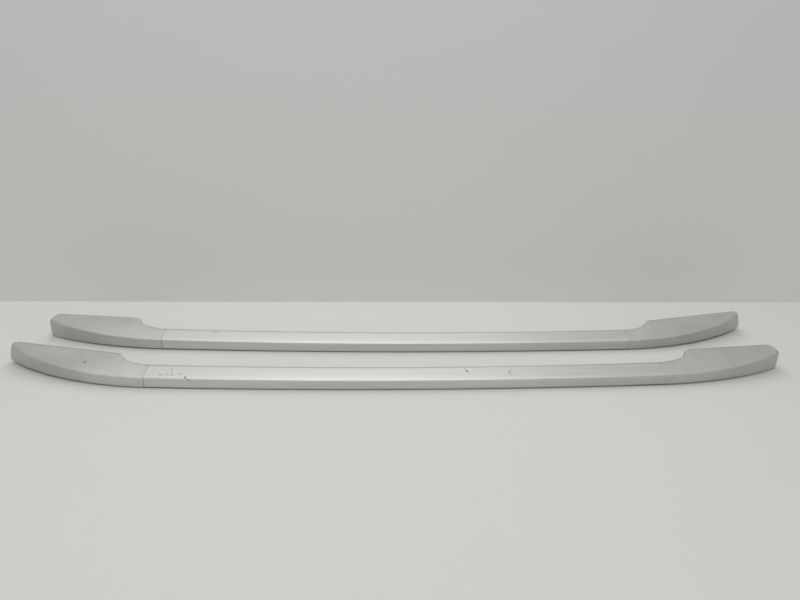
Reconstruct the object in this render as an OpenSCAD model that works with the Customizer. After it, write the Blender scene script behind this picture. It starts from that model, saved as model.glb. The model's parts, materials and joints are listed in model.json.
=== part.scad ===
// A pair of lengthwise roof rails, left and right, lying on their sides.
// Each rail is one arched hollow bar with a long foot at either end.
// Rail frame: x along the rail, y from the crown of the arch towards the roof, z across the width.

/* [Bar] */
// Distance between the two seams of a rail
bar_span = 1021; // [900:1:1150]
// Radius of the arch along its crown
arch_r = 9950; // [7000:50:14000]
// Depth of the bar from its crown to its underside
bar_h = 39.5; // [36:0.5:43]
// Width of the bar at its crown
crown_w = 23.7; // [22:0.1:26]
// Width of the bar at its underside
under_w = 32; // [28:0.5:34]
// Radius of the long edges beside the crown
crown_edge_r = 3; // [2:0.5:4]
// Radius of the long edges at the underside
under_edge_r = 2.5; // [1.5:0.5:3.5]
// Outward bulge of the bar's sides
bar_bulge = 0.5; // [0.2:0.1:1]
// Wall of the hollow bar
bar_wall = 2.5; // [2:0.1:3]

/* [Feet] */
// Length of the front foot from its seam to the tip of its nose
front_len = 311; // [270:1:320]
// Length of the rear foot from its seam to the tip of its nose
rear_len = 270.5; // [255:0.5:300]
// Radius of the front foot's sloping back
front_back_r = 566; // [540:2:700]
// Radius of the rear foot's sloping back
rear_back_r = 730; // [640:5:820]
// Radius of the front foot's nose seen from the side
front_nose_r = 260; // [200:5:600]
// Radius of the rear foot's nose seen from the side
rear_nose_r = 105; // [95:5:300]
// Length of the stretch that the nose radius bends
nose_run = 30; // [20:1:38]
// How far the nose leans back from its tip to the base
nose_lean = 6; // [4:1:14]
// Length of the nose's rounding seen from above the roof
nose_plan = 9; // [8:0.5:14]
// Squareness of that rounding, where 2 is an ellipse
nose_square = 2.6; // [2:0.1:3]
// How far the front nose's lower side stands ahead of its upper side
front_skew = 14; // [0:0.5:18]
// How far the rear nose's lower side stands ahead of its upper side
rear_skew = 4; // [0:0.5:14]
// Length of the stretch over which a nose slants
skew_run = 70; // [60:1:90]
// Depth of the front foot's base below the seam at the heel
front_heel_drop = 69.8; // [66:0.2:76]
// Depth of the rear foot's base below the seam at the heel
rear_heel_drop = 76.6; // [70:0.2:82]
// Slope of the front foot's base along the roof
front_base_tilt = 11.3; // [9:0.2:13]
// Slope of the rear foot's base along the roof
rear_base_tilt = 5.2; // [3:0.1:8]
// Distance from the seam at which the heel drop is taken
heel_run = 62; // [58:1:70]
// Width of a foot at its base
base_w = 42; // [38:0.2:46]
// Width that the front foot's back flares to at the nose
front_flare_w = 43; // [38:0.5:44]
// Width that the rear foot's back flares to at the nose
rear_flare_w = 46; // [38:0.5:48]
// Outward bulge of a foot's side
side_bulge = 1.2; // [0.4:0.1:2]
// Length of the front foot's neck, where its underside leaves the bar's line
front_neck_run = 43.5; // [38:0.5:48]
// Length of the rear foot's neck
rear_neck_run = 50.5; // [42:0.5:54]
// Radius of the neck's underside
neck_r = 130; // [110:5:200]
// Radius of the hollow between neck and leg
leg_r = 20; // [14:1:24]
// Slope of the leg's face
leg_a = 60; // [56:1:64]
// Radius of the heel, where the leg's face meets the base
heel_r = 8; // [5:0.5:8.5]

/* [Shells and brackets] */
// Wall of a moulded foot cover
cover_wall = 2.8; // [2.2:0.1:3.2]
// Wall of the cover at the leg's face
leg_wall = 5; // [4.8:0.1:6]
// Radius of the cover's outer rim
rim_r = 0.8; // [0.5:0.1:1.2]
// Width of the seam between bar and cover
seam_gap = 0.6; // [0.3:0.1:1]
// Clearance round a bracket's spigot
spigot_gap = 0.4; // [0.3:0.05:0.8]
// How far the spigot reaches into the bar
spigot_in = 60; // [54:1:90]
// Thickness of a bracket's upright web
web_t = 7; // [5:0.5:9]
// Thickness of a bracket's base plate
plate_t = 7; // [6.5:0.5:9]
// Clearance round a bracket's base plate
plate_gap = 0.6; // [0.4:0.1:1]
// Outer radius of a stud's boss on the bracket
stud_boss_r = 9; // [8:0.5:10]
// Height of a stud's boss above the base plane
stud_boss_h = 16; // [14:0.5:18]
// Outer radius of a cover's screw boss
screw_boss_r = 4.2; // [3.6:0.1:5]

/* [Fixings] */
// Radius of a mounting stud
stud_r = 4; // [3:0.5:5]
// Free length of a mounting stud
stud_free = 20; // [16:0.5:22]
// Distance of the inner stud from the heel
stud_from_heel = 30; // [26:1:36]
// Distance of the outer stud from the tip of the base
stud_from_nose = 70; // [66:1:76]
// Thickness of a gasket
gasket_t = 2.5; // [1.5:0.5:3]
// How far a gasket stays inside the cover's rim
gasket_inset = 1.6; // [1:0.1:2.5]
// Thickness of a stud's flange
flange_t = 3.2; // [3:0.1:3.8]
// Radius of a stud's flange
flange_r = 6.5; // [6:0.1:7]
// Shank radius of a bar screw
bar_screw_r = 2.4; // [2:0.1:2.6]
// Distances of the bar screws from the seam
bar_screw_step = 22; // [18:1:26]
// Shank radius of a cover screw
cover_screw_r = 1.65; // [1.4:0.05:1.8]
// Distance of the inner cover screw from the tip of the base
inner_screw_from_nose = 102; // [98:1:108]
// Distance of the outer cover screw from the tip of the base
outer_screw_from_nose = 34; // [30:1:38]

/* [Placing] */
// Distance between the two rails as they lie
pair_gap = 164.6; // [155:0.1:200]
// How far the two rails are shifted along each other
pair_shift = 16.5; // [0:0.5:40]
// Angle by which each rail is turned out of line
splay = 0.26; // [0:0.02:1]

/* [Hidden] */
SIDES = ["right", "left"];
ENDS = ["front", "rear"];
PIECES = ["cover", "bracket", "gasket", "studs", "stud_seals", "bar_screws", "cover_screws"];
$fn = 48;

bar_color = [0.80, 0.81, 0.82];
cover_color = [0.70, 0.70, 0.69];
cast_color = [0.60, 0.61, 0.62];
rubber_color = [0.13, 0.13, 0.13];
steel_color = [0.55, 0.56, 0.58];

// Index 0 is the front foot, index 1 the rear foot.
foot_len = [front_len, rear_len];
back_r = [front_back_r, rear_back_r];
nose_r = [front_nose_r, rear_nose_r];
heel_drop = [front_heel_drop, rear_heel_drop];
base_tilt = [front_base_tilt, rear_base_tilt];
flare_w = [front_flare_w, rear_flare_w];
neck_run = [front_neck_run, rear_neck_run];
nose_skew = [front_skew, rear_skew];
flare_power = 2.2;

seam_a = asin(bar_span / 2 / arch_r);
seam_y = arch_r * (1 - cos(seam_a));
spigot_out = min(neck_run) - 4;
spigot_skin = max(bar_wall, cover_wall) + spigot_gap;
spigot_w = crown_w - 2 * spigot_skin;
web_gap = 1.5;
web_len = 85;
web_overlap = 12;
web_top_steps = 4;
nose_turn = 10;
seat = 0.05;
stud_hole_gap = 0.1;
stud_neck_r = stud_r - 0.2;
stud_chamfer = 1;
seal_gap = 0.3;
seal_w = 2.4;
seal_lip = 0.2;
bar_hole_gap = 0.4;
bar_screw_len = 14;
bar_head_r = 4.6;
bar_head_h = 2.8;
cover_head_r = 4;
cover_head_h = 2.6;
cover_head_sink = 0.4;
cover_screw_grip = 14;
inner_edge_r = 0.6;

// Steps of each stretch of a foot's loft.
neck_steps = 4;
leg_steps = 4;
heel_steps = 3;
base_steps = 5;
nose_steps = 7;
corner_steps = 4;
side_steps = 4;
edge_steps = 3;
heel_station = neck_steps + leg_steps + heel_steps;
last_station = heel_station + base_steps + nose_steps;
half_count = corner_steps + 1 + side_steps - 1 + edge_steps + 1;

function mix(p, q, t) = p + (q - p) * t;
function along(a) = [cos(a), sin(a)];
function across(a) = [-sin(a), cos(a)];
function turned(a, r, run) = asin(sin(a) + run / r);
function fall(a, b, r) = r * (cos(a) - cos(b));
function side_of(p, q) = p.x * q.y - p.y * q.x;

// The back of foot f: slope and depth at a distance u from the seam.
function bend_u(f) = foot_len[f] - nose_run;
function bend_a(f) = turned(seam_a, back_r[f], bend_u(f));
function back_a(f, u) = u <= bend_u(f)
    ? turned(seam_a, back_r[f], u)
    : turned(bend_a(f), nose_r[f], u - bend_u(f));
function back_y(f, u) = u <= bend_u(f)
    ? fall(seam_a, back_a(f, u), back_r[f])
    : fall(seam_a, bend_a(f), back_r[f]) + fall(bend_a(f), back_a(f, u), nose_r[f]);
function back_pt(f, u) = [u, back_y(f, u)];

// The underside of foot f: neck, hollow, leg, heel and base.
neck_start = bar_h * across(seam_a);
function neck_a(f) = turned(seam_a, neck_r, neck_run[f]);
function neck_end(f) = neck_start + [neck_run[f], fall(seam_a, neck_a(f), neck_r)];
function leg_at(f, a) = neck_end(f) + leg_r * [sin(a) - sin(neck_a(f)), cos(neck_a(f)) - cos(a)];
function heel_pt(f) =
    let (
        start = leg_at(f, leg_a),
        line = along(base_tilt[f]),
        to = [heel_run, heel_drop[f]] - start
    )
    start + along(leg_a) * side_of(to, line) / side_of(along(leg_a), line);
function heel_cut(f) = heel_r * tan((leg_a - base_tilt[f]) / 2);
function leg_end(f) = heel_pt(f) - heel_cut(f) * along(leg_a);
function base_start(f) = heel_pt(f) + heel_cut(f) * along(base_tilt[f]);
function base_at(f, u) = heel_pt(f) + along(base_tilt[f]) * (u - heel_pt(f).x) / cos(base_tilt[f]);
function base_tip_u(f) = foot_len[f] - nose_lean;
function base_len(f) = (base_tip_u(f) - heel_pt(f).x) / cos(base_tilt[f]);
function mouth(f) = leg_wall / sin(leg_a - base_tilt[f]);

// Half widths along a foot.
function back_w(f, u) = crown_w / 2 + (flare_w[f] - crown_w) / 2 * pow(max(u, 0) / foot_len[f], flare_power);
function spread(f, u) = min(1, max(u, 0) / base_start(f).x);
function sole_w(f, u) = mix(under_w, base_w, pow(spread(f, u), flare_power)) / 2;

// One station of the loft:
// [back u, sole point, sole slope, narrowing, plan normal, inner sole point, inner sole slope, lip].
function back_u(f, x) = (x - neck_start.x) * base_start(f).x / (base_start(f).x - neck_start.x);
function plain_station(f, p, a, wall) =
    [back_u(f, p.x), p, a, 1, [0, 1], p - across(a) * wall, a, 1];
function neck_station(f, i) =
    let (run = neck_run[f] * i / neck_steps, a = turned(seam_a, neck_r, run))
    plain_station(f, neck_start + [run, fall(seam_a, a, neck_r)], a, cover_wall);
function leg_station(f, i) =
    let (t = i / leg_steps, a = mix(neck_a(f), leg_a, t))
    plain_station(f, leg_at(f, a), a, mix(cover_wall, leg_wall, t));
function heel_station_at(f, i) =
    let (
        t = i / heel_steps,
        a = mix(leg_a, base_tilt[f], t),
        p = leg_end(f) - heel_r * across(leg_a) + heel_r * across(a),
        top = leg_end(f) - across(leg_a) * leg_wall,
        rim = heel_pt(f) + mouth(f) * along(base_tilt[f])
    )
    [back_u(f, p.x), p, a, 1, [0, 1], mix(top, rim, t), i == heel_steps ? base_tilt[f] : leg_a, 0];
function base_station(f, i) =
    let (
        t = i / base_steps,
        from = base_start(f).x,
        inner_from = heel_pt(f).x + mouth(f) * cos(base_tilt[f]),
        to = base_tip_u(f) - nose_plan
    )
    [mix(from, foot_len[f] - nose_plan, t), base_at(f, mix(from, to, t)), base_tilt[f], 1, [0, 1],
        base_at(f, mix(inner_from, to, t)), base_tilt[f], 0];
// A squared circle: squared() gives its points from sines and cosines, blunted() its normals.
function squared(q) = pow(q, 2 / nose_square);
function blunted(q) = pow(q, 2 - 2 / nose_square);
function nose_station(f, i) =
    let (
        t = 90 * i / nose_steps,
        back = nose_plan * (1 - squared(sin(t))),
        n = [blunted(sin(t)) / nose_plan, 2 * blunted(cos(t)) / base_w],
        p = base_at(f, base_tip_u(f) - back)
    )
    [foot_len[f] - back, p, base_tilt[f], squared(cos(t)), n / norm(n), p, base_tilt[f], 0];
function stations(f) = concat(
    [for (i = [0 : neck_steps - 1]) neck_station(f, i)],
    [for (i = [0 : leg_steps - 1]) leg_station(f, i)],
    [for (i = [0 : heel_steps]) heel_station_at(f, i)],
    [for (i = [1 : base_steps]) base_station(f, i)],
    [for (i = [1 : nose_steps]) nose_station(f, i)]
);

// Half a ring, from the edge of the back down to the edge of the sole.
// inset moves it inwards in plan and sink moves its back inwards.
function half_ring(back, a, sole, b, w, n, inset, sink, top_r, low_r, lip, bulge) = concat(
    [for (k = [0 : corner_steps])
        let (
            t = 90 * k / corner_steps,
            d = inset + top_r * (1 - sin(t)),
            p = back - along(a) * d * n.x + across(a) * (sink + top_r * (1 - cos(t)))
        )
        [p.x, p.y, w[0] - d * n.y]],
    [for (k = [1 : side_steps - 1])
        let (
            t = k / side_steps,
            high = back - along(a) * inset * n.x + across(a) * (sink + top_r),
            low = sole - along(b) * inset * n.x - across(b) * low_r,
            p = mix(high, low, t),
            out = 4 * bulge * t * (1 - t)
        )
        [p.x + out * n.x, p.y, mix(w[0], w[1], t) + (out - inset) * n.y]],
    [for (k = [0 : edge_steps])
        let (
            t = 90 - 90 * k / edge_steps,
            d = inset + low_r * (1 - sin(t)) * lip,
            p = sole - along(b) * d * n.x - across(b) * low_r * (1 - cos(t))
        )
        [p.x, p.y, w[1] - d * n.y]]
);
function bulge_at(f, s) = mix(bar_bulge, side_bulge, spread(f, s[0]));
function half_widths(f, s) = [back_w(f, s[0]), sole_w(f, s[1].x)] * s[3];
function outer_half(f, s) =
    let (open = pow(spread(f, s[1].x), flare_power))
    half_ring(back_pt(f, s[0]), back_a(f, s[0]), s[1], s[2], half_widths(f, s), s[4],
        0, 0, crown_edge_r, mix(under_edge_r, rim_r, open), 1, bulge_at(f, s));
function inner_half(f, s) =
    half_ring(back_pt(f, s[0]), back_a(f, s[0]), s[5], s[6], half_widths(f, s), s[4],
        cover_wall, cover_wall, inner_edge_r, inner_edge_r, s[7], bulge_at(f, s));
function mirrored(half) = [for (k = [len(half) - 1 : -1 : 0]) [half[k].x, half[k].y, -half[k].z]];
function skin(halves) = [
    for (i = [0 : last_station - 1]) each concat(halves[i], mirrored(halves[i])),
    each halves[last_station]
];

// How far the nose's slant moves a point back, from its distance to the base's tip and its height.
function slant(f, from_tip, z) =
    nose_skew[f] * pow(max(0, 1 - from_tip / skew_run), 2) * (1 / 2 + z / base_w);
function slanted(f, p) =
    let (
        from_heel = (p.x - heel_pt(f).x) * cos(base_tilt[f]) + (p.y - heel_pt(f).y) * sin(base_tilt[f]),
        back = slant(f, base_len(f) - from_heel, p.z)
    )
    [p.x - back * cos(base_tilt[f]), p.y - back * sin(base_tilt[f]), p.z];

// Faces of a skin: rings of points, closed to a single line of points at the tip.
ring_count = 2 * half_count;
skin_count = last_station * ring_count + half_count;
function vertex(base, i, k) =
    let (j = k % ring_count)
    base + i * ring_count + (i < last_station || j < half_count ? j : ring_count - 1 - j);
function quad(a, b, c, d, flip) = [
    for (t = flip ? [[a, d, b], [b, d, c]] : [[a, c, b], [a, d, c]])
        if (t[0] != t[1] && t[1] != t[2] && t[2] != t[0]) t
];
function skin_faces(base, inside) = [
    for (i = [0 : last_station - 1]) for (k = [0 : ring_count - 1])
        if (k != half_count - 1 || i < heel_station)
            let (
                near = inside ? i + 1 : i,
                far = inside ? i : i + 1,
                flip = inside ? k < half_count : k >= half_count
            )
            each quad(vertex(base, near, k), vertex(base, far, k),
                vertex(base, far, k + 1), vertex(base, near, k + 1), flip)
];
// The annulus at the seam, then the rim round the open base.
function seam_faces() = [
    for (k = [0 : ring_count - 1])
        each quad(vertex(0, 0, k), vertex(0, 0, k + 1),
            vertex(skin_count, 0, k + 1), vertex(skin_count, 0, k), false)
];
function rim_faces() = concat(
    [for (i = [heel_station : last_station - 1]) each concat(
        quad(vertex(0, i, half_count - 1), vertex(0, i + 1, half_count - 1),
            vertex(skin_count, i + 1, half_count - 1), vertex(skin_count, i, half_count - 1), false),
        quad(vertex(0, i + 1, half_count), vertex(0, i, half_count),
            vertex(skin_count, i, half_count), vertex(skin_count, i + 1, half_count), true))],
    quad(vertex(0, heel_station, half_count), vertex(0, heel_station, half_count - 1),
        vertex(skin_count, heel_station, half_count - 1), vertex(skin_count, heel_station, half_count), false)
);

// How the rails lie: on the edge of the crown and on the side of both feet.
// reach is how far the foot, or the crown's edge, goes below the mid plane at a roll angle.
function foot_reach(f, roll) = max([
    for (s = stations(f)) for (p = outer_half(f, s)) p.z * cos(roll) - (p.y + seam_y) * sin(roll)
]);
function crown_reach(roll) =
    (crown_w / 2 - crown_edge_r) * cos(roll) - crown_edge_r * sin(roll) + crown_edge_r;
function mean_gap(roll) = foot_reach(0, roll) + foot_reach(1, roll) - 2 * crown_reach(roll);
function solved_roll(low, high, left) =
    let (mid = (low + high) / 2)
    left == 0 ? mid : mean_gap(mid) > 0 ? solved_roll(mid, high, left - 1) : solved_roll(low, mid, left - 1);
widest_roll = 15;
roll_halvings = 16;
lie_roll = solved_roll(0, widest_roll, roll_halvings);
lie_pitch = atan((foot_reach(1, lie_roll) - foot_reach(0, lie_roll)) / (bar_span + 2 * heel_run));
lie_z = crown_reach(lie_roll);

// The pair's reach across the surface: from the near rail's crown to the far rail's longest stud.
stud_out = flange_t + stud_free;
function lain(p) =
    let (
        z = p.z * cos(lie_pitch) + p.x * sin(lie_pitch),
        x = p.x * cos(lie_pitch) - p.z * sin(lie_pitch)
    )
    x * sin(splay) + (p.y * cos(lie_roll) - z * sin(lie_roll)) * cos(splay);
function stud_tip(f, d) =
    let (p = heel_pt(f) + d * along(base_tilt[f]) + stud_out * across(base_tilt[f]))
    lain([(2 * f - 1) * (bar_span / 2 + p.x), seam_y + p.y, 0])
        + (stud_r - stud_chamfer) * norm([sin(base_tilt[f] + (2 * f - 1) * splay), sin(lie_roll)]);
far_y = max([
    for (f = [0, 1]) for (d = [stud_from_heel, base_len(f) - stud_from_nose]) stud_tip(f, d)
]);
near_y = lain([0, crown_edge_r, crown_w / 2 - crown_edge_r]) - crown_edge_r - arch_r * (1 - cos(splay));
mid_y = (near_y + pair_gap + far_y) / 2;

// Lays a rail in its place; side 0 is the near, right-hand rail and side 1 the far, left-hand one.
module lay(side) {
    translate([(0.5 - side) * pair_shift, side * pair_gap - mid_y, lie_z])
        mirror([side, 0, 0])
            rotate(splay)
                rotate([lie_roll, 0, 0])
                    rotate([0, -lie_pitch, 0])
                        children();
}

// Turns towards one end of the rail, with x growing outwards.
module at_end(f) {
    mirror([1 - f, 0, 0]) children();
}

module at_seam() {
    translate([bar_span / 2, seam_y, 0]) children();
}

// On the base plane of foot f: x from the heel to the nose, y towards the roof.
module on_base(f) {
    at_seam() translate(heel_pt(f)) rotate(base_tilt[f]) children();
}

// On the crown, a distance in from the seam, with y along the depth of the bar.
module on_crown(inward) {
    translate([0, arch_r, 0])
        rotate(seam_a - inward / arch_r * 180 / PI)
            translate([0, -arch_r, 0])
                children();
}

// A disc or tube standing on y, from one depth to another.
module post(r, from, to) {
    translate([0, from, 0]) rotate([-90, 0, 0]) cylinder(r = r, h = to - from);
}

module bar_outline(inset) {
    top_r = max(crown_edge_r - inset, inner_edge_r);
    low_r = max(under_edge_r - inset, inner_edge_r);
    half = half_ring([0, inset], 0, [0, bar_h - inset], 0, [crown_w / 2, under_w / 2], [0, 1],
        inset, 0, top_r, low_r, 1, bar_bulge);
    polygon([for (p = concat(half, mirrored(half))) [arch_r - p.y, p.z]]);
}

// The hollow bar, revolved from the crown to either seam.
module bar_blank() {
    sweep = seam_a - seam_gap / 2 / arch_r * 180 / PI;
    for (f = [0, 1])
        at_end(f)
            translate([0, arch_r, 0])
                rotate(-90)
                    rotate_extrude(angle = sweep, $fn = 360)
                        difference() {
                            bar_outline(0);
                            bar_outline(bar_wall);
                        }
}

module each_bar_screw() {
    for (i = [1, 2]) on_crown(i * bar_screw_step) children();
}

module bar() {
    color(bar_color)
        difference() {
            bar_blank();
            for (f = [0, 1])
                at_end(f)
                    each_bar_screw()
                        post(bar_screw_r + bar_hole_gap, bar_h - 2 * bar_wall, bar_h + 1);
        }
}

module each_cover_screw(f) {
    for (d = [inner_screw_from_nose, outer_screw_from_nose])
        on_base(f) translate([base_len(f) - d, 0, 0]) children();
}

// A boss under the cover's back, cut off in the middle of the wall.
module screw_boss(f, from_nose) {
    u = heel_pt(f).x + (base_len(f) - from_nose) * cos(base_tilt[f]);
    depth = base_at(f, u).y - back_y(f, u);
    difference() {
        on_base(f)
            translate([base_len(f) - from_nose, 0, 0])
                difference() {
                    post(screw_boss_r, -depth, -plate_t - 2 * seat);
                    post(cover_screw_r + seat, -plate_t - cover_screw_grip - 1, 0);
                }
        at_seam()
            translate(back_pt(f, u + (depth - cover_wall) * sin(base_tilt[f])))
                rotate(back_a(f, u))
                    translate([-depth, cover_wall / 2 - depth, -depth / 2])
                        cube([2 * depth, depth, depth]);
    }
}

module cover(f) {
    list = stations(f);
    outer = [for (p = skin([for (s = list) outer_half(f, s)])) slanted(f, p)];
    inner = [for (p = skin([for (s = list) inner_half(f, s)])) slanted(f, p)];
    color(cover_color)
        at_end(f) {
            at_seam()
                polyhedron(
                    points = concat(outer, inner),
                    faces = concat(skin_faces(0, false), skin_faces(skin_count, true),
                        seam_faces(), rim_faces()));
            screw_boss(f, inner_screw_from_nose);
            screw_boss(f, outer_screw_from_nose);
        }
}

module each_stud(f) {
    for (d = [stud_from_heel, base_len(f) - stud_from_nose])
        on_base(f) translate([d, 0, 0]) children();
}

// Outline of foot f's base, inset from the cover's rim, from a distance behind the heel.
module base_outline(f, inset, from) {
    half = base_w / 2 - inset;
    round_x = nose_plan / cos(base_tilt[f]);
    nose = [
        for (t = [0 : nose_turn : 180])
            [round_x - (round_x - inset) * squared(sin(t)), half * sign(cos(t)) * squared(abs(cos(t)))]
    ];
    polygon(concat(
        [[from, half]],
        [for (p = nose) [base_len(f) - p.x - slant(f, p.x, -p.y), p.y]],
        [[from, -half]]
    ));
}

module base_slab(f, inset, from, y0, y1) {
    on_base(f) translate([0, y0, 0]) rotate([-90, 0, 0]) linear_extrude(y1 - y0) base_outline(f, inset, from);
}

// Side outline of the bracket's web, from the neck over the back to the plate.
module web_outline(f) {
    leg = [for (i = [0 : leg_steps]) leg_station(f, i)];
    from = base_start(f).x;
    top = [for (i = [web_top_steps : -1 : 0]) mix(spigot_out - web_overlap, web_len, i / web_top_steps)];
    polygon(concat(
        [for (s = leg) s[5] - across(s[6]) * web_gap],
        [heel_pt(f) + (mouth(f) + web_gap) * along(base_tilt[f]) - across(base_tilt[f]) * plate_t / 2],
        [base_at(f, web_len) - across(base_tilt[f]) * plate_t / 2],
        [for (u = top) back_pt(f, u) + across(back_a(f, u)) * (spigot_skin + web_gap)]
    ));
}

module bracket(f) {
    low = bar_h - spigot_skin;
    pocket = (spigot_w - web_t) / 2;
    color(cast_color)
        at_end(f)
            difference() {
                union() {
                    at_seam()
                        rotate(seam_a)
                            difference() {
                                translate([-spigot_in, spigot_skin, -spigot_w / 2])
                                    cube([spigot_in + spigot_out, low - spigot_skin, spigot_w]);
                                for (z = [-1, 1])
                                    translate([0, (low + spigot_skin) / 2, z * (spigot_w + web_t) / 4])
                                        cube([spigot_out, low - spigot_skin - 2 * web_t, pocket + seat],
                                            center = true);
                            }
                    at_seam()
                        translate([0, 0, -web_t / 2])
                            linear_extrude(web_t)
                                web_outline(f);
                    base_slab(f, cover_wall + plate_gap, mouth(f) + plate_gap, -plate_t, 0);
                    each_stud(f) post(stud_boss_r, -stud_boss_h, -plate_t / 2);
                }
                each_stud(f) post(stud_neck_r + stud_hole_gap, -stud_boss_h - 1, 1);
                each_cover_screw(f) {
                    post(cover_screw_r + seal_gap, -plate_t - 1, 0);
                    post(cover_head_r + seal_gap, -cover_head_h - cover_head_sink - seat, 1);
                }
                each_bar_screw() post(bar_screw_r + stud_hole_gap, bar_h - bar_screw_len - 2, bar_h);
            }
}

module gasket(f) {
    color(rubber_color)
        at_end(f)
            difference() {
                base_slab(f, gasket_inset, gasket_inset, seat, gasket_t + seat);
                each_stud(f) post(flange_r + seal_w + 2 * seal_gap, -1, gasket_t + 1);
            }
}

module studs(f) {
    color(steel_color)
        at_end(f)
            each_stud(f) {
                post(stud_neck_r, -stud_boss_h, 1);
                post(flange_r, seat, flange_t);
                post(stud_r, 1, stud_out - stud_chamfer);
                translate([0, stud_out - stud_chamfer, 0])
                    rotate([-90, 0, 0])
                        cylinder(r1 = stud_r, r2 = stud_r - stud_chamfer, h = stud_chamfer);
            }
}

module stud_seals(f) {
    color(rubber_color)
        at_end(f)
            each_stud(f)
                difference() {
                    post(flange_r + seal_gap + seal_w, seat, flange_t - seal_lip);
                    post(flange_r + seal_gap, 0, flange_t);
                }
}

module bar_screws(f) {
    color(steel_color)
        at_end(f)
            each_bar_screw() {
                post(bar_screw_r, bar_h - bar_screw_len, bar_h + 1);
                difference() {
                    post(bar_head_r, bar_h + seat, bar_h + bar_head_h);
                    post(bar_screw_r, bar_h + bar_head_h / 2, bar_h + bar_head_h + 1, $fn = 6);
                }
            }
}

module cover_screws(f) {
    color(steel_color)
        at_end(f)
            each_cover_screw(f) {
                post(cover_screw_r, -plate_t - cover_screw_grip, -cover_head_sink - cover_head_h / 2);
                difference() {
                    post(cover_head_r, -cover_head_sink - cover_head_h, -cover_head_sink);
                    post(cover_screw_r, -cover_head_sink - cover_head_h / 2, 1, $fn = 6);
                }
            }
}

for (side = [0, 1]) {
    lay(side) bar();
    for (f = [0, 1]) {
        name = str(SIDES[side], "_", ENDS[f], "_");
        lay(side) cover(f);
        lay(side) bracket(f);
        lay(side) gasket(f);
        lay(side) studs(f);
        lay(side) stud_seals(f);
        lay(side) bar_screws(f);
        lay(side) cover_screws(f);
    }
}
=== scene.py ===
# A pair of silver roof rails lying on a pale table: materials, wear, light and camera.
import json
import math

import bmesh
import bpy
from mathutils import Matrix, Vector

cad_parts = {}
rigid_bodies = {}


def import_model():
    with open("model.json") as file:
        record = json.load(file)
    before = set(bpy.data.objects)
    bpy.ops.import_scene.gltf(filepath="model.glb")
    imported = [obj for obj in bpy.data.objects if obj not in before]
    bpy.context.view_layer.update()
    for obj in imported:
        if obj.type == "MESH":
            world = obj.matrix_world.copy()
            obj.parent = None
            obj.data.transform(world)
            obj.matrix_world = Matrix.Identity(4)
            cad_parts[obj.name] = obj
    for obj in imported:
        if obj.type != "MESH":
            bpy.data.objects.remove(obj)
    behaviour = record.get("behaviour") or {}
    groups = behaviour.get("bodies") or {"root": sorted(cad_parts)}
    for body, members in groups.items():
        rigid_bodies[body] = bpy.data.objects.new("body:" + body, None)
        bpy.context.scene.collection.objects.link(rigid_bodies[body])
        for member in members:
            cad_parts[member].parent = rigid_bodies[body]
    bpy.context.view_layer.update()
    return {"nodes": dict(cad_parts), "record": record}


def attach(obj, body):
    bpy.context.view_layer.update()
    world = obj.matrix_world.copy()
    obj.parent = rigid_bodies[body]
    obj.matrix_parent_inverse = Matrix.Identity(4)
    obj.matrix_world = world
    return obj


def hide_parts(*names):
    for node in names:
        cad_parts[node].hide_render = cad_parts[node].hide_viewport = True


for leftover in list(bpy.data.objects):
    bpy.data.objects.remove(leftover)

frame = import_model()
nodes = frame["nodes"]

# Camera, in metres and degrees in the row's frame, fitted to the rails' outlines.
CAMERA_AT = (-0.0551, -1.2556, 0.6287)
CAMERA_YAW = 2.23
CAMERA_DOWN = 21.68
CAMERA_ROLL = 0.91
FOCAL_PIXELS = 650.0
FRAME_WIDTH_PIXELS = 800.0
SENSOR_MM = 36.0

# Table and wall. The wall is painted darker towards its top, as painted shade: its colour changes to the
# higher one between the two heights of its fade.
TABLE_COLOUR = (0.635, 0.63, 0.61)
WALL_COLOUR = (0.705, 0.71, 0.675)
WALL_SHADED_HIGH = (0.66, 0.675, 0.67)
WALL_SHADE_FADE = (0.05, 0.70)
WALL_Y = 0.311
STAGE_REACH = 6.0
STAGE_ROUGHNESS = 0.9
STAGE_SPECULAR = 0.1

# Light.
SKY_COLOUR = (1.0, 1.0, 0.99)
SKY_STRENGTH = 0.62
CEILING_POWER = 41.0
CEILING_SIZE = (1.7, 5.0)
CEILING_AT = (-0.17, 0.3, 2.3)

# The bars' cut ends: how squarely their faces look along x, and how far behind the tip they may lie.
CAP_FACING = 0.9
END_DEPTH = 0.006

# The bars as they lie. A place deeper than the parting under the near bar's crown is the far bar's.
# The lean is the bars' roll, as rise over run.
ARCH_PARTING = 0.10
ROLL_LEAN = 0.13
BAR_DEPTH = 0.0395

# Joints between the bars and the covers, and the dirt on their edges. They show more on the crown
# than on the side, which differ in how far they face along y, and are faint at the +X ends.
SEAM_HALF = 0.0004
SEAM_FADE = 0.0006
SEAM_REACH = 0.055
SEAM_FACING = (-0.9, -0.4)
SEAM_ON_CROWN = 0.55
SEAM_ON_SIDE = 0.25
SEAM_FAINT = 0.3
SEAM_SHADE = (0.06, 0.058, 0.055)

# Painted shade on the bars, in the colour also used for grime marks: a dark line along the underside's
# edge, by depth under the crown, and a painted contact shadow just above the table.
SHADE_AND_GRIME = (0.16, 0.155, 0.145)
EDGE_SHADE_DEPTH = (BAR_DEPTH - 0.0022, BAR_DEPTH + 0.0002)
EDGE_SHADE = 0.5
CONTACT_SHADOW_HEIGHT = (0.00125, 0.005)
CONTACT_SHADOW = 0.6

# Painted shade on the necks' rims: how far these face along y and up, and where along x the necks end.
RIM_FACING = (-0.19, -0.08)
RIM_UP = (0.0, 0.4)
NECK_END = (0.575, 0.590)
RIM_SHADE = 0.85

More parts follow.
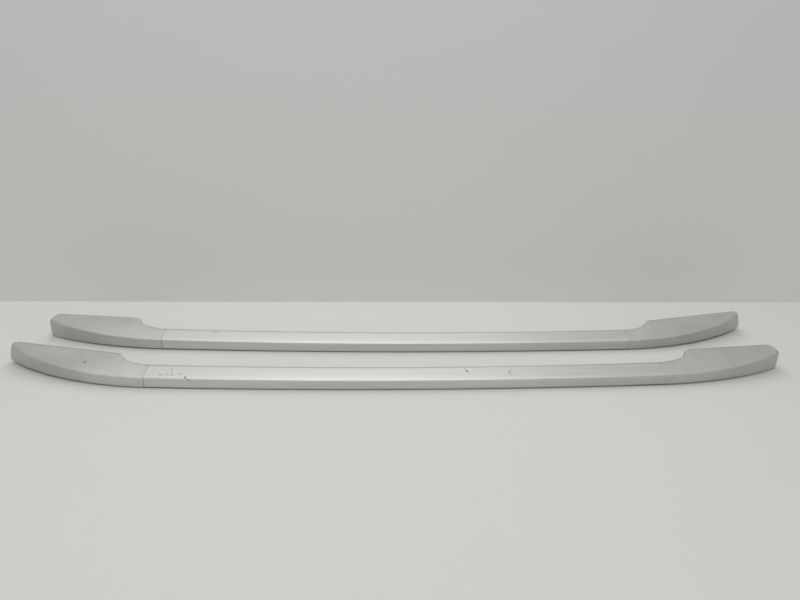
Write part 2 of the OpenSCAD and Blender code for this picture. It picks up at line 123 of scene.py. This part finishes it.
# Marks on the rails, in metres: start, end, half width and strength of each.
BAR_MARKS = (
    ((-0.4715, -0.1330, 0.0265), (-0.4675, -0.1338, 0.0264), 0.0026, 0.32),
    ((-0.4590, -0.1315, 0.0270), (-0.4560, -0.1335, 0.0265), 0.0024, 0.22),
    ((-0.4532, -0.1125, 0.0318), (-0.4478, -0.1338, 0.0265), 0.0013, 0.20),
    ((-0.4485, -0.1335, 0.0265), (-0.4470, -0.1345, 0.0262), 0.0022, 0.22),
    ((-0.4345, -0.1295, 0.0278), (-0.4310, -0.1305, 0.0275), 0.0026, 0.25),
    ((-0.4228, -0.1395, 0.0249), (-0.4208, -0.1410, 0.0245), 0.0020, 0.95),
    ((-0.4170, -0.1436, 0.0228), (-0.4145, -0.1442, 0.0215), 0.0016, 0.55),
    ((-0.4145, -0.1440, 0.0215), (-0.4085, -0.1440, 0.0180), 0.0011, 0.18),
    ((0.1215, -0.1255, 0.0296), (0.1233, -0.1269, 0.0294), 0.0022, 0.90),
    ((0.1180, -0.1175, 0.0314), (0.1220, -0.1255, 0.0296), 0.0011, 0.40),
    ((0.2048, -0.1285, 0.0288), (0.2115, -0.1236, 0.0299), 0.0011, 0.60),
    ((0.2048, -0.1285, 0.0288), (0.2082, -0.1378, 0.0262), 0.0011, 0.55),
    ((-0.4125, 0.0513, 0.0316), (-0.4010, 0.0513, 0.0316), 0.0012, 0.70),
)
BARE_MARKS = (
    ((-0.4680, -0.1262, 0.0285), (-0.4656, -0.1276, 0.0281), 0.0018, 0.22),
    ((-0.4455, -0.1240, 0.0292), (-0.4435, -0.1250, 0.0290), 0.0018, 0.22),
)
COVER_MARKS = (
    ((-0.6290, -0.0958, 0.0357), (-0.6254, -0.0968, 0.0355), 0.0022, 0.85),
    ((-0.5150, -0.1386, 0.0100), (-0.5085, -0.1386, 0.0170), 0.0014, 0.25),
)
BARE_METAL = (0.92, 0.92, 0.92)

# A mark's ragged edge: cells in a half width, half widths where it fades, and change of noise along x.
MARK_CELLS = 0.8
MARK_FADE = (0.8, 1.9)
MARK_SHIFT = 9

# Painted light on the covers beside the bars, where the paint is lighter: middle, reach along x and y, and
# amount.
LIT_PATCHES = (
    ((-0.530, -0.142, 0.0), (0.125, 0.041), 1.0),
    ((-0.545, 0.028, 0.0), (0.115, 0.041), 0.9),
    ((0.545, -0.140, 0.0), (0.140, 0.055), 0.42),
    ((0.530, 0.025, 0.0), (0.120, 0.055), 0.35),
)
PATCH_FADE = (0.4, 1.6)

# Colours of each finish, from its darkest to its lightest. The bars are painted darker towards their +X
# ends, as painted shade.
BAR_LIT_TONES = ((0.61, 0.61, 0.60), (0.69, 0.69, 0.68))
BAR_SHADED_TONES = ((0.55, 0.55, 0.54), (0.62, 0.62, 0.61))
BAR_SHADE_X = (0.10, 0.45)
PAINT_AT_TIPS = ((0.46, 0.457, 0.445), (0.53, 0.527, 0.515))
PAINT_LIT_BESIDE_BARS = ((0.555, 0.553, 0.54), (0.635, 0.633, 0.62))
CASTING = ((0.33, 0.335, 0.34), (0.42, 0.42, 0.415))
RUBBER = ((0.018, 0.018, 0.018), (0.06, 0.058, 0.054))
ZINC = ((0.50, 0.515, 0.54), (0.56, 0.55, 0.51))

# Grain of each finish, in cells for each metre: along x, y and z, or alike along all three.
BAR_LINES = (6, 900, 900)
BAR_BANDS = (2.5, 90, 90)
PAINT_FLAKE = 1400
PAINT_CLOUD = 22
PAINT_PEEL = 420
PAINT_RIPPLE = (30, 90, 90)
CASTING_GRAIN = 700
CASTING_CLOUD = 40
RUBBER_GRAIN = 1200
RUBBER_DUST = 60
ZINC_CAST = 120
ZINC_LINES = (300, 2500, 300)

# The share of the finer noise where two are mixed.
BAR_LINES_SHARE = 0.35
PAINT_FLAKE_SHARE = 0.4

# The part of a noise's range that a colour or a roughness is spread over.
MIDDLE = (0.3, 0.7)
MOST = (0.2, 0.8)
DUST_COLOURED = (0.45, 0.75)
DUST_ROUGHENED = (0.3, 0.8)
ZINC_COLOURED = (0.35, 0.65)

# Roughness of each finish, where its noise is lowest and highest.
BAR_ROUGHNESS = (0.49, 0.57)
PAINT_ROUGHNESS = (0.42, 0.54)
CASTING_ROUGHNESS = (0.5, 0.7)
RUBBER_ROUGHNESS = (0.55, 0.85)
ZINC_ROUGHNESS = (0.25, 0.42)

# Bumps of each finish: strength, and height in metres.
BAR_BUMP = (0.12, 0.0004)
PAINT_RIPPLE_BUMP = (0.35, 0.0012)
PAINT_PEEL_BUMP = (0.15, 0.0003)
CASTING_BUMP = (0.4, 0.0005)
RUBBER_BUMP = (0.3, 0.0003)
ZINC_BUMP = (0.2, 0.0002)

# Mesh clean-up, in metres and degrees, and how much more a large face counts in a corner's normal.
WELD = 0.00002
CREASE_ANGLE = 35.0
FACE_WEIGHT = 80

# The rounding of the corner between a foot's base and its neck: its radius, the angle from the base
# to the neck, the rim of the base that is searched for the corner, how many radii the cuts reach, the
# steps of the arc, and the share of the rounding's reach by which a gasket's end is drawn in.
HEEL_ROUND = 0.0075
HEEL_TURN = 114.0
HEEL_RIM = 0.0004
HEEL_REACH = 3
HEEL_CUTS = 8
HEEL_SQUEEZE = 0.8


def point_camera():
    """Places the camera so that the rails fall where the photograph has them."""
    yaw, down, roll = (math.radians(a) for a in (CAMERA_YAW, CAMERA_DOWN, CAMERA_ROLL))
    forward = Vector((math.sin(yaw) * math.cos(down), math.cos(yaw) * math.cos(down), -math.sin(down)))
    level = Vector((math.cos(yaw), -math.sin(yaw), 0.0))
    upward = level.cross(forward)
    right = level * math.cos(roll) + upward * math.sin(roll)
    top = upward * math.cos(roll) - level * math.sin(roll)
    data = bpy.data.cameras.new("camera")
    data.sensor_width = SENSOR_MM
    data.lens = SENSOR_MM * FOCAL_PIXELS / FRAME_WIDTH_PIXELS
    camera = bpy.data.objects.new("camera", data)
    rotation = Matrix((right, top, -forward)).transposed()
    camera.matrix_world = Matrix.Translation(CAMERA_AT) @ rotation.to_4x4()
    bpy.context.scene.collection.objects.link(camera)
    bpy.context.scene.camera = camera


def light():
    """An even sky and one broad ceiling lamp."""
    world = bpy.data.worlds.new("sky")
    bpy.context.scene.world = world
    world.use_nodes = True
    background = world.node_tree.nodes["Background"]
    background.inputs["Color"].default_value = (*SKY_COLOUR, 1.0)
    background.inputs["Strength"].default_value = SKY_STRENGTH
    lamp = bpy.data.lights.new("ceiling", "AREA")
    lamp.shape = "RECTANGLE"
    lamp.size, lamp.size_y = CEILING_SIZE
    lamp.energy = CEILING_POWER
    ceiling = bpy.data.objects.new("ceiling", lamp)
    ceiling.location = CEILING_AT
    ceiling.visible_camera = False
    bpy.context.scene.collection.objects.link(ceiling)


class Finish:
    """A node-built material. Its place is the row's frame, in metres, until along_arch bends it."""

    def __init__(self, name):
        self.material = bpy.data.materials.new(name)
        self.material.use_nodes = True
        self.tree = self.material.node_tree
        self.shader = self.tree.nodes["Principled BSDF"]
        self.place = self.node("ShaderNodeTexCoord").outputs["Object"]

    def node(self, kind, **settings):
        """A new node, with its settings made."""
        made = self.tree.nodes.new(kind)
        for key, value in settings.items():
            setattr(made, key, value)
        return made

    def feed(self, socket, value):
        """Sets a socket to a number, a vector, a colour or another node's output."""
        if isinstance(value, bpy.types.NodeSocket):
            self.tree.links.new(value, socket)
        elif isinstance(value, tuple) and len(value) == 3 and len(socket.default_value) == 4:
            socket.default_value = (*value, 1.0)
        else:
            socket.default_value = value

    def maths(self, operation, a, b=0.0, clamp=False):
        """The result of an operation on numbers."""
        made = self.node("ShaderNodeMath", operation=operation, use_clamp=clamp)
        self.feed(made.inputs[0], a)
        self.feed(made.inputs[1], b)
        return made.outputs[0]

    def product(self, first, *others):
        """The product of two or more numbers."""
        for other in others:
            first = self.maths("MULTIPLY", first, other)
        return first

    def mixed(self, a, b, share):
        """A share of a, and the rest of b."""
        return self.maths("ADD", self.product(a, share), self.product(b, 1.0 - share))

    def vector(self, operation, a, b=(0.0, 0.0, 0.0)):
        """The result of an operation on vectors: a number for a dot product or a length."""
        made = self.node("ShaderNodeVectorMath", operation=operation)
        self.feed(made.inputs[0], a)
        self.feed(made.inputs[1], b)
        return made.outputs["Value" if operation in ("DOT_PRODUCT", "LENGTH") else "Vector"]

    def part(self, vector, axis):
        """A vector's X, Y or Z."""
        split = self.node("ShaderNodeSeparateXYZ")
        self.feed(split.inputs[0], vector)
        return split.outputs[axis]

    def facing(self, axis):
        """How far the surface faces along X, Y or Z, from -1 to 1."""
        return self.part(self.node("ShaderNodeNewGeometry").outputs["Normal"], axis)

    def offset(self, centre):
        """The place, measured from a centre."""
        return self.vector("SUBTRACT", self.place, centre)

    def spread(self, value, low, high, to_low=0.0, to_high=1.0):
        """The value's range from low to high, eased into the second range and held at its ends."""
        made = self.node("ShaderNodeMapRange", interpolation_type="SMOOTHSTEP")
        self.feed(made.inputs["Value"], value)
        made.inputs["From Min"].default_value = low
        made.inputs["From Max"].default_value = high
        made.inputs["To Min"].default_value = to_low
        made.inputs["To Max"].default_value = to_high
        return made.outputs["Result"]

    def blend(self, factor, a, b):
        """The colour a where the factor is 0, and b where it is 1."""
        made = self.node("ShaderNodeMix", data_type="RGBA")
        self.feed(made.inputs["Factor"], factor)
        self.feed(made.inputs["A"], a)
        self.feed(made.inputs["B"], b)
        return made.outputs["Result"]

    def noise(self, cells, detail=2.0, shift=0.0):
        """Noise with this many cells for each metre. Each shift gives another noise."""
        cells = cells if isinstance(cells, tuple) else (cells,) * 3
        made = self.node("ShaderNodeTexNoise", noise_dimensions="4D")
        self.feed(made.inputs["Vector"], self.vector("MULTIPLY", self.place, cells))
        made.inputs["W"].default_value = shift
        made.inputs["Scale"].default_value = 1.0
        made.inputs["Detail"].default_value = detail
        return made.outputs["Fac"]

    def streak(self, start, end, half_width):
        """1 on the line from start to end and beside it, ragged at its edge, and 0 away from it."""
        run = Vector(end) - Vector(start)
        offset = self.offset(start)
        passed = self.vector("DOT_PRODUCT", offset, run / run.length_squared)
        nearest = self.vector("MULTIPLY", run, self.maths("ADD", passed, clamp=True))
        distance = self.vector("LENGTH", self.vector("SUBTRACT", offset, nearest))
        grain = self.noise(MARK_CELLS / half_width, shift=start[0] * MARK_SHIFT)
        distance = self.maths("ADD", distance, self.product(grain, half_width))
        return self.spread(distance, *(half_width * share for share in MARK_FADE), 1.0, 0.0)

    def marked(self, colour, marks, tint):
        """The colour with each mark of a list blended over it."""
        for start, end, half_width, strength in marks:
            colour = self.blend(self.product(self.streak(start, end, half_width), strength), colour, tint)
        return colour

    def seams(self):
        """How strongly the joints between bars and covers show: 0 away from them."""
        lines = 0.0
        for centre, direction in SEAMS:
            offset = self.offset(centre)
            away = self.maths("ABSOLUTE", self.vector("DOT_PRODUCT", offset, direction))
            line = self.spread(away, SEAM_HALF, SEAM_HALF + SEAM_FADE, 1.0, 0.0)
            near = self.maths("LESS_THAN", self.vector("LENGTH", offset), SEAM_REACH)
            line = self.product(line, near, 1.0 if centre[0] < 0 else SEAM_FAINT)
            lines = self.maths("MAXIMUM", lines, line)
        return self.product(lines, self.spread(self.facing("Y"), *SEAM_FACING, SEAM_ON_CROWN, SEAM_ON_SIDE))

    def along_arch(self):
        """Bends the place to run along the bars: x, depth below the crown, and z. Returns the depth."""
        in_plan = self.vector("MULTIPLY", self.place, (1.0, 1.0, 0.0))
        depths = []
        for middle, radius in ARCHES:
            reach = self.vector("LENGTH", self.vector("SUBTRACT", in_plan, (*middle, 0.0)))
            depths.append(self.maths("SUBTRACT", radius, reach))
        near, far = depths
        on_far = self.maths("GREATER_THAN", near, ARCH_PARTING)
        depth = self.maths("ADD", near, self.product(self.maths("SUBTRACT", far, near), on_far))
        height = self.part(self.place, "Z")
        depth = self.maths("ADD", depth, self.product(height, ROLL_LEAN))
        joined = self.node("ShaderNodeCombineXYZ")
        for socket, value in zip(joined.inputs, (self.part(self.place, "X"), depth, height)):
            self.feed(socket, value)
        self.place = joined.outputs[0]
        return depth

    def patch(self, centre, reach):
        """1 in the middle of a patch in plan, fading to 0 beyond its reach."""
        ratio = self.vector("MULTIPLY", self.offset(centre), (1.0 / reach[0], 1.0 / reach[1], 0.0))
        return self.spread(self.vector("LENGTH", ratio), *PATCH_FADE, 1.0, 0.0)

    def add_bump(self, height, strength, distance, normal=None):
        """The surface's normal, or the one given, with a bump added."""
        made = self.node("ShaderNodeBump")
        made.inputs["Strength"].default_value = strength
        made.inputs["Distance"].default_value = distance
        self.feed(made.inputs["Height"], height)
        if normal is not None:
            self.feed(made.inputs["Normal"], normal)
        return made.outputs["Normal"]

    def finish(self, colour, roughness, normal=None, metallic=0.0):
        """Sets the shader, and returns the material."""
        self.feed(self.shader.inputs["Base Color"], colour)
        self.feed(self.shader.inputs["Roughness"], roughness)
        self.shader.inputs["Metallic"].default_value = metallic
        if normal is not None:
            self.feed(self.shader.inputs["Normal"], normal)
        return self.material

    def matte(self, colour):
        """A plain dull surface, for the table and the wall."""
        self.shader.inputs["Specular IOR Level"].default_value = STAGE_SPECULAR
        return self.finish(colour, STAGE_ROUGHNESS)

    def clear_from_behind(self):
        """Leaves out the surface where it is seen from its back."""
        either = self.node("ShaderNodeMixShader")
        self.feed(either.inputs[0], self.node("ShaderNodeNewGeometry").outputs["Backfacing"])
        self.feed(either.inputs[1], self.shader.outputs[0])
        self.feed(either.inputs[2], self.node("ShaderNodeBsdfTransparent").outputs[0])
        self.feed(self.tree.nodes["Material Output"].inputs["Surface"], either.outputs[0])


def cut_ends(bar):
    """Centre and outward direction of a bar's two cut ends."""
    ends = []
    for way in (-1.0, 1.0):
        caps = [face for face in bar.data.polygons if face.normal.x * way > CAP_FACING]
        tip = max(face.center.x * way for face in caps)
        caps = [face for face in caps if face.center.x * way > tip - END_DEPTH]
        area = sum(face.area for face in caps)
        centre = sum((face.center * face.area for face in caps), Vector()) / area
        direction = sum((face.normal * face.area for face in caps), Vector()).normalized()
        ends.append((bar.matrix_world @ centre, bar.matrix_world.to_3x3() @ direction))
    return ends


def arch_of(bar, ends):
    """Middle of a bar's arch in plan, where the planes of its ends meet, and the crown's radius."""
    (a, m), (b, n) = ends
    reach_a = m.x * a.x + m.y * a.y
    reach_b = n.x * b.x + n.y * b.y
    turn = m.x * n.y - m.y * n.x
    middle = Vector(((reach_a * n.y - reach_b * m.y) / turn, (reach_b * m.x - reach_a * n.x) / turn))
    radius = max(((bar.matrix_world @ v.co).xy - middle).length for v in bar.data.vertices)
    return tuple(middle), radius


# The joints' centres and directions, and the arches' middles and radii, of the near and the far bar.
BARS = [nodes[side + "_bar"] for side in ("right", "left")]
ENDS = [cut_ends(bar) for bar in BARS]
SEAMS = [(tuple(centre), tuple(direction)) for ends in ENDS for centre, direction in ends]
ARCHES = [arch_of(bar, ends) for bar, ends in zip(BARS, ENDS)]


def anodised_bar():
    """Satin anodised extrusion: fine lines along the bar, faint bands, painted shade towards its +X end,
    along its underside's edge and above the table, and grime marks and scuffs.
    """
    f = Finish("anodised_bar")
    seams = f.seams()
    unbent = f.place
    depth = f.along_arch()
    lines = f.noise(BAR_LINES, detail=3)
    bands = f.noise(BAR_BANDS, detail=2, shift=4)
    tone = f.spread(f.mixed(lines, bands, BAR_LINES_SHARE), *MIDDLE)
    # Painted shade: the bar turns darker towards its +X end.
    end_shade = f.spread(f.part(f.place, "X"), *BAR_SHADE_X)
    colour = f.blend(end_shade, f.blend(tone, *BAR_LIT_TONES), f.blend(tone, *BAR_SHADED_TONES))
    # Painted shade: a dark line along the underside's edge.
    colour = f.blend(f.spread(depth, *EDGE_SHADE_DEPTH, 0.0, EDGE_SHADE), colour, SHADE_AND_GRIME)
    # Painted contact shadow just above the table.
    colour = f.blend(f.spread(f.part(f.place, "Z"), *CONTACT_SHADOW_HEIGHT, CONTACT_SHADOW, 0.0), colour, SHADE_AND_GRIME)
    f.place = unbent
    colour = f.marked(colour, BAR_MARKS, SHADE_AND_GRIME)
    colour = f.marked(colour, BARE_MARKS, BARE_METAL)
    colour = f.blend(seams, colour, SEAM_SHADE)
    roughness = f.spread(lines, *MOST, *BAR_ROUGHNESS)
    return f.finish(colour, roughness, f.add_bump(lines, *BAR_BUMP), metallic=0.85)


def painted_cover():
    """Matte silver paint on a moulded cover: metal flake, a little orange peel, painted light beside the
    bars, painted shade on the necks' rims, and grime marks.
    """
    f = Finish("painted_cover")
    flake = f.noise(PAINT_FLAKE, detail=1)
    cloud = f.noise(PAINT_CLOUD, detail=3, shift=2)
    tone = f.spread(f.mixed(flake, cloud, PAINT_FLAKE_SHARE), *MIDDLE)
    # Painted light: lighter paint in patches beside the bars.
    painted_light = 0.0
    for centre, reach, amount in LIT_PATCHES:
        painted_light = f.maths("MAXIMUM", painted_light, f.product(f.patch(centre, reach), amount))
    colour = f.blend(painted_light, f.blend(tone, *PAINT_AT_TIPS), f.blend(tone, *PAINT_LIT_BESIDE_BARS))
    # Painted shade along the necks' rims.
    rim = f.product(f.spread(f.facing("Y"), *RIM_FACING), f.spread(f.facing("Z"), *RIM_UP))
    on_neck = f.spread(f.maths("ABSOLUTE", f.part(f.place, "X")), *NECK_END, RIM_SHADE, 0.0)
    colour = f.blend(f.product(rim, on_neck), colour, SHADE_AND_GRIME)
    colour = f.marked(colour, COVER_MARKS, SHADE_AND_GRIME)
    colour = f.blend(f.seams(), colour, SEAM_SHADE)
    ripple = f.noise(PAINT_RIPPLE, detail=1, shift=9)
    peel = f.noise(PAINT_PEEL, detail=2, shift=7)
    normal = f.add_bump(ripple, *PAINT_RIPPLE_BUMP)
    normal = f.add_bump(peel, *PAINT_PEEL_BUMP, normal)
    roughness = f.spread(flake, *MOST, *PAINT_ROUGHNESS)
    return f.finish(colour, roughness, normal, metallic=0.6)


def cast_bracket():
    """Sand-grey casting with a pebbled skin."""
    f = Finish("cast_bracket")
    grain = f.noise(CASTING_GRAIN, detail=4)
    cloud = f.noise(CASTING_CLOUD, detail=2, shift=3)
    colour = f.blend(f.spread(cloud, *MIDDLE), *CASTING)
    roughness = f.spread(grain, *MOST, *CASTING_ROUGHNESS)
    return f.finish(colour, roughness, f.add_bump(grain, *CASTING_BUMP), metallic=0.8)


def gasket_rubber():
    """Black rubber with a little dust on it."""
    f = Finish("gasket_rubber")
    grain = f.noise(RUBBER_GRAIN, detail=3)
    dust = f.noise(RUBBER_DUST, detail=4, shift=5)
    colour = f.blend(f.spread(dust, *DUST_COLOURED), *RUBBER)
    roughness = f.spread(dust, *DUST_ROUGHENED, *RUBBER_ROUGHNESS)
    return f.finish(colour, roughness, f.add_bump(grain, *RUBBER_BUMP))


def zinc_steel():
    """Zinc-plated steel: turned lines and a faint blue-yellow cast."""
    f = Finish("zinc_steel")
    cast = f.noise(ZINC_CAST, detail=2)
    lines = f.noise(ZINC_LINES, detail=2, shift=1)
    colour = f.blend(f.spread(cast, *ZINC_COLOURED), *ZINC)
    roughness = f.spread(lines, *MOST, *ZINC_ROUGHNESS)
    return f.finish(colour, roughness, f.add_bump(lines, *ZINC_BUMP), metallic=1.0)


# Each function is named as its material slot.
FINISHES = (anodised_bar, painted_cover, cast_bracket, gasket_rubber, zinc_steel)


class Heel:
    """The corner where a foot's base meets its neck, seen along the rail's width."""

    def __init__(self, cover):
        pad = cover.replace("cover", "pad")
        mount = next(row for row in frame["record"]["mounts"] if row["name"] == pad)
        self.out = Vector(mount["axis"])
        self.along = self.out.cross(Vector((0.0, 0.0, 1.0))).normalized()
        if self.along.x * mount["pos_m"][0] < 0:
            self.along.negate()
        self.across = self.along.cross(self.out).normalized()
        points = [nodes[cover].matrix_world @ v.co for v in nodes[cover].data.vertices]
        base = max(point.dot(self.out) for point in points)
        self.start = min(p.dot(self.along) for p in points if p.dot(self.out) > base - HEEL_RIM)
        turn = math.radians(HEEL_TURN)
        self.down = self.along * math.cos(turn) - self.out * math.sin(turn)
        self.reach = HEEL_ROUND / math.tan(turn / 2)
        corner = self.along * self.start + self.out * base
        self.middle = corner + (self.along + self.down).normalized() * HEEL_ROUND / math.sin(turn / 2)

    def arm(self, place):
        """From the rounding's middle to a place, with nothing along the rail's width."""
        offset = place - self.middle
        return offset - self.across * offset.dot(self.across)

    def around(self, shape):
        """The faces of a mesh near the rounding, with their edges and corners, each once."""
        limit = HEEL_ROUND * HEEL_REACH
        faces = [f for f in shape.faces if any(self.arm(v.co).length < limit for v in f.verts)]
        return list(dict.fromkeys(faces + [part for f in faces for part in (*f.edges, *f.verts)]))

    def round_off(self, shape):
        """Cuts a cover's mesh along rays from the rounding's middle, and draws its corner in."""
        to_neck = self.down.cross(self.across)
        if to_neck.dot(self.out) < 0:
            to_neck.negate()
        for step in range(HEEL_CUTS + 1):
            ray = self.out.lerp(to_neck, step / HEEL_CUTS).normalized()
            bmesh.ops.bisect_plane(
                shape,
                geom=self.around(shape),
                dist=WELD / 2,
                plane_co=self.middle,
                plane_no=ray.cross(self.across),
            )
        for vertex in shape.verts:
            arm = self.arm(vertex.co)
            if arm.dot(self.along) < WELD and arm.dot(self.down) < WELD and arm.length > HEEL_ROUND:
                vertex.co += arm * (HEEL_ROUND / arm.length - 1.0)

    def draw_in(self, shape):
        """Draws a gasket's end most of the way back to where the rounding begins."""
        for vertex in shape.verts:
            short = self.start + self.reach - vertex.co.dot(self.along)
            if short > 0:
                vertex.co += self.along * short * HEEL_SQUEEZE


def smooth_copy(node):
    """A welded copy of a CAD node, shaded smooth where its skin is smooth, with its heel rounded."""
    mesh = nodes[node].data.copy()
    mesh.name = node + "_skin"
    shape = bmesh.new()
    shape.from_mesh(mesh)
    bmesh.ops.remove_doubles(shape, verts=shape.verts, dist=WELD)
    bmesh.ops.dissolve_degenerate(shape, edges=shape.edges, dist=WELD)
    if node.endswith("_cover"):
        Heel(node).round_off(shape)
    if node.endswith("_gasket"):
        Heel(node.replace("gasket", "cover")).draw_in(shape)
    for face in shape.faces:
        face.smooth = True
    for edge in shape.edges:
        edge.smooth = not edge.is_manifold or edge.calc_face_angle(0.0) < math.radians(CREASE_ANGLE)
    shape.to_mesh(mesh)
    shape.free()
    stored = mesh.attributes.get("custom_normal")
    if stored is not None:
        mesh.attributes.remove(stored)
    piece = bpy.data.objects.new(node + "_skin", mesh)
    bpy.context.scene.collection.objects.link(piece)
    weighted = piece.modifiers.new("weighted", "WEIGHTED_NORMAL")
    weighted.keep_sharp = True
    weighted.weight = FACE_WEIGHT
    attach(piece, "root")
    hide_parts(node)
    return piece


def dress():
    """Makes every piece, and gives it its finish."""
    made = {build.__name__: build() for build in FINISHES}
    slots = {row["node"]: row["material_slot"] for row in frame["record"]["subparts"]}
    for node, slot in sorted(slots.items()):
        piece = smooth_copy(node)
        piece.data.materials.clear()
        piece.data.materials.append(made[slot])


def flat_board(name, corners, material):
    """A sheet with four corners that stands round the rails and isn't part of them."""
    mesh = bpy.data.meshes.new(name)
    mesh.from_pydata(corners, [], [(0, 1, 2, 3)])
    mesh.materials.append(material)
    board = bpy.data.objects.new(name, mesh)
    bpy.context.scene.collection.objects.link(board)
    return board


def stage():
    """The table, and a wall behind it, painted darker towards its top, that shows only from its front and
    casts no shadow.
    """
    far = STAGE_REACH
    level = [(-far, -far), (far, -far), (far, far), (-far, far)]
    flat_board("table", [(x, y, 0) for x, y in level], Finish("table").matte(TABLE_COLOUR))
    finish = Finish("wall")
    # Painted shade: the wall turns darker towards its top.
    fade = finish.spread(finish.part(finish.place, "Z"), *WALL_SHADE_FADE)
    finish.matte(finish.blend(fade, WALL_COLOUR, WALL_SHADED_HIGH))
    finish.clear_from_behind()
    upright = [(-far, 0), (far, 0), (far, far), (-far, far)]
    wall = flat_board("wall", [(x, WALL_Y, z) for x, z in upright], finish.material)
    wall.visible_shadow = False


point_camera()
light()
stage()
dress()
bpy.context.scene.view_settings.view_transform = "Standard"
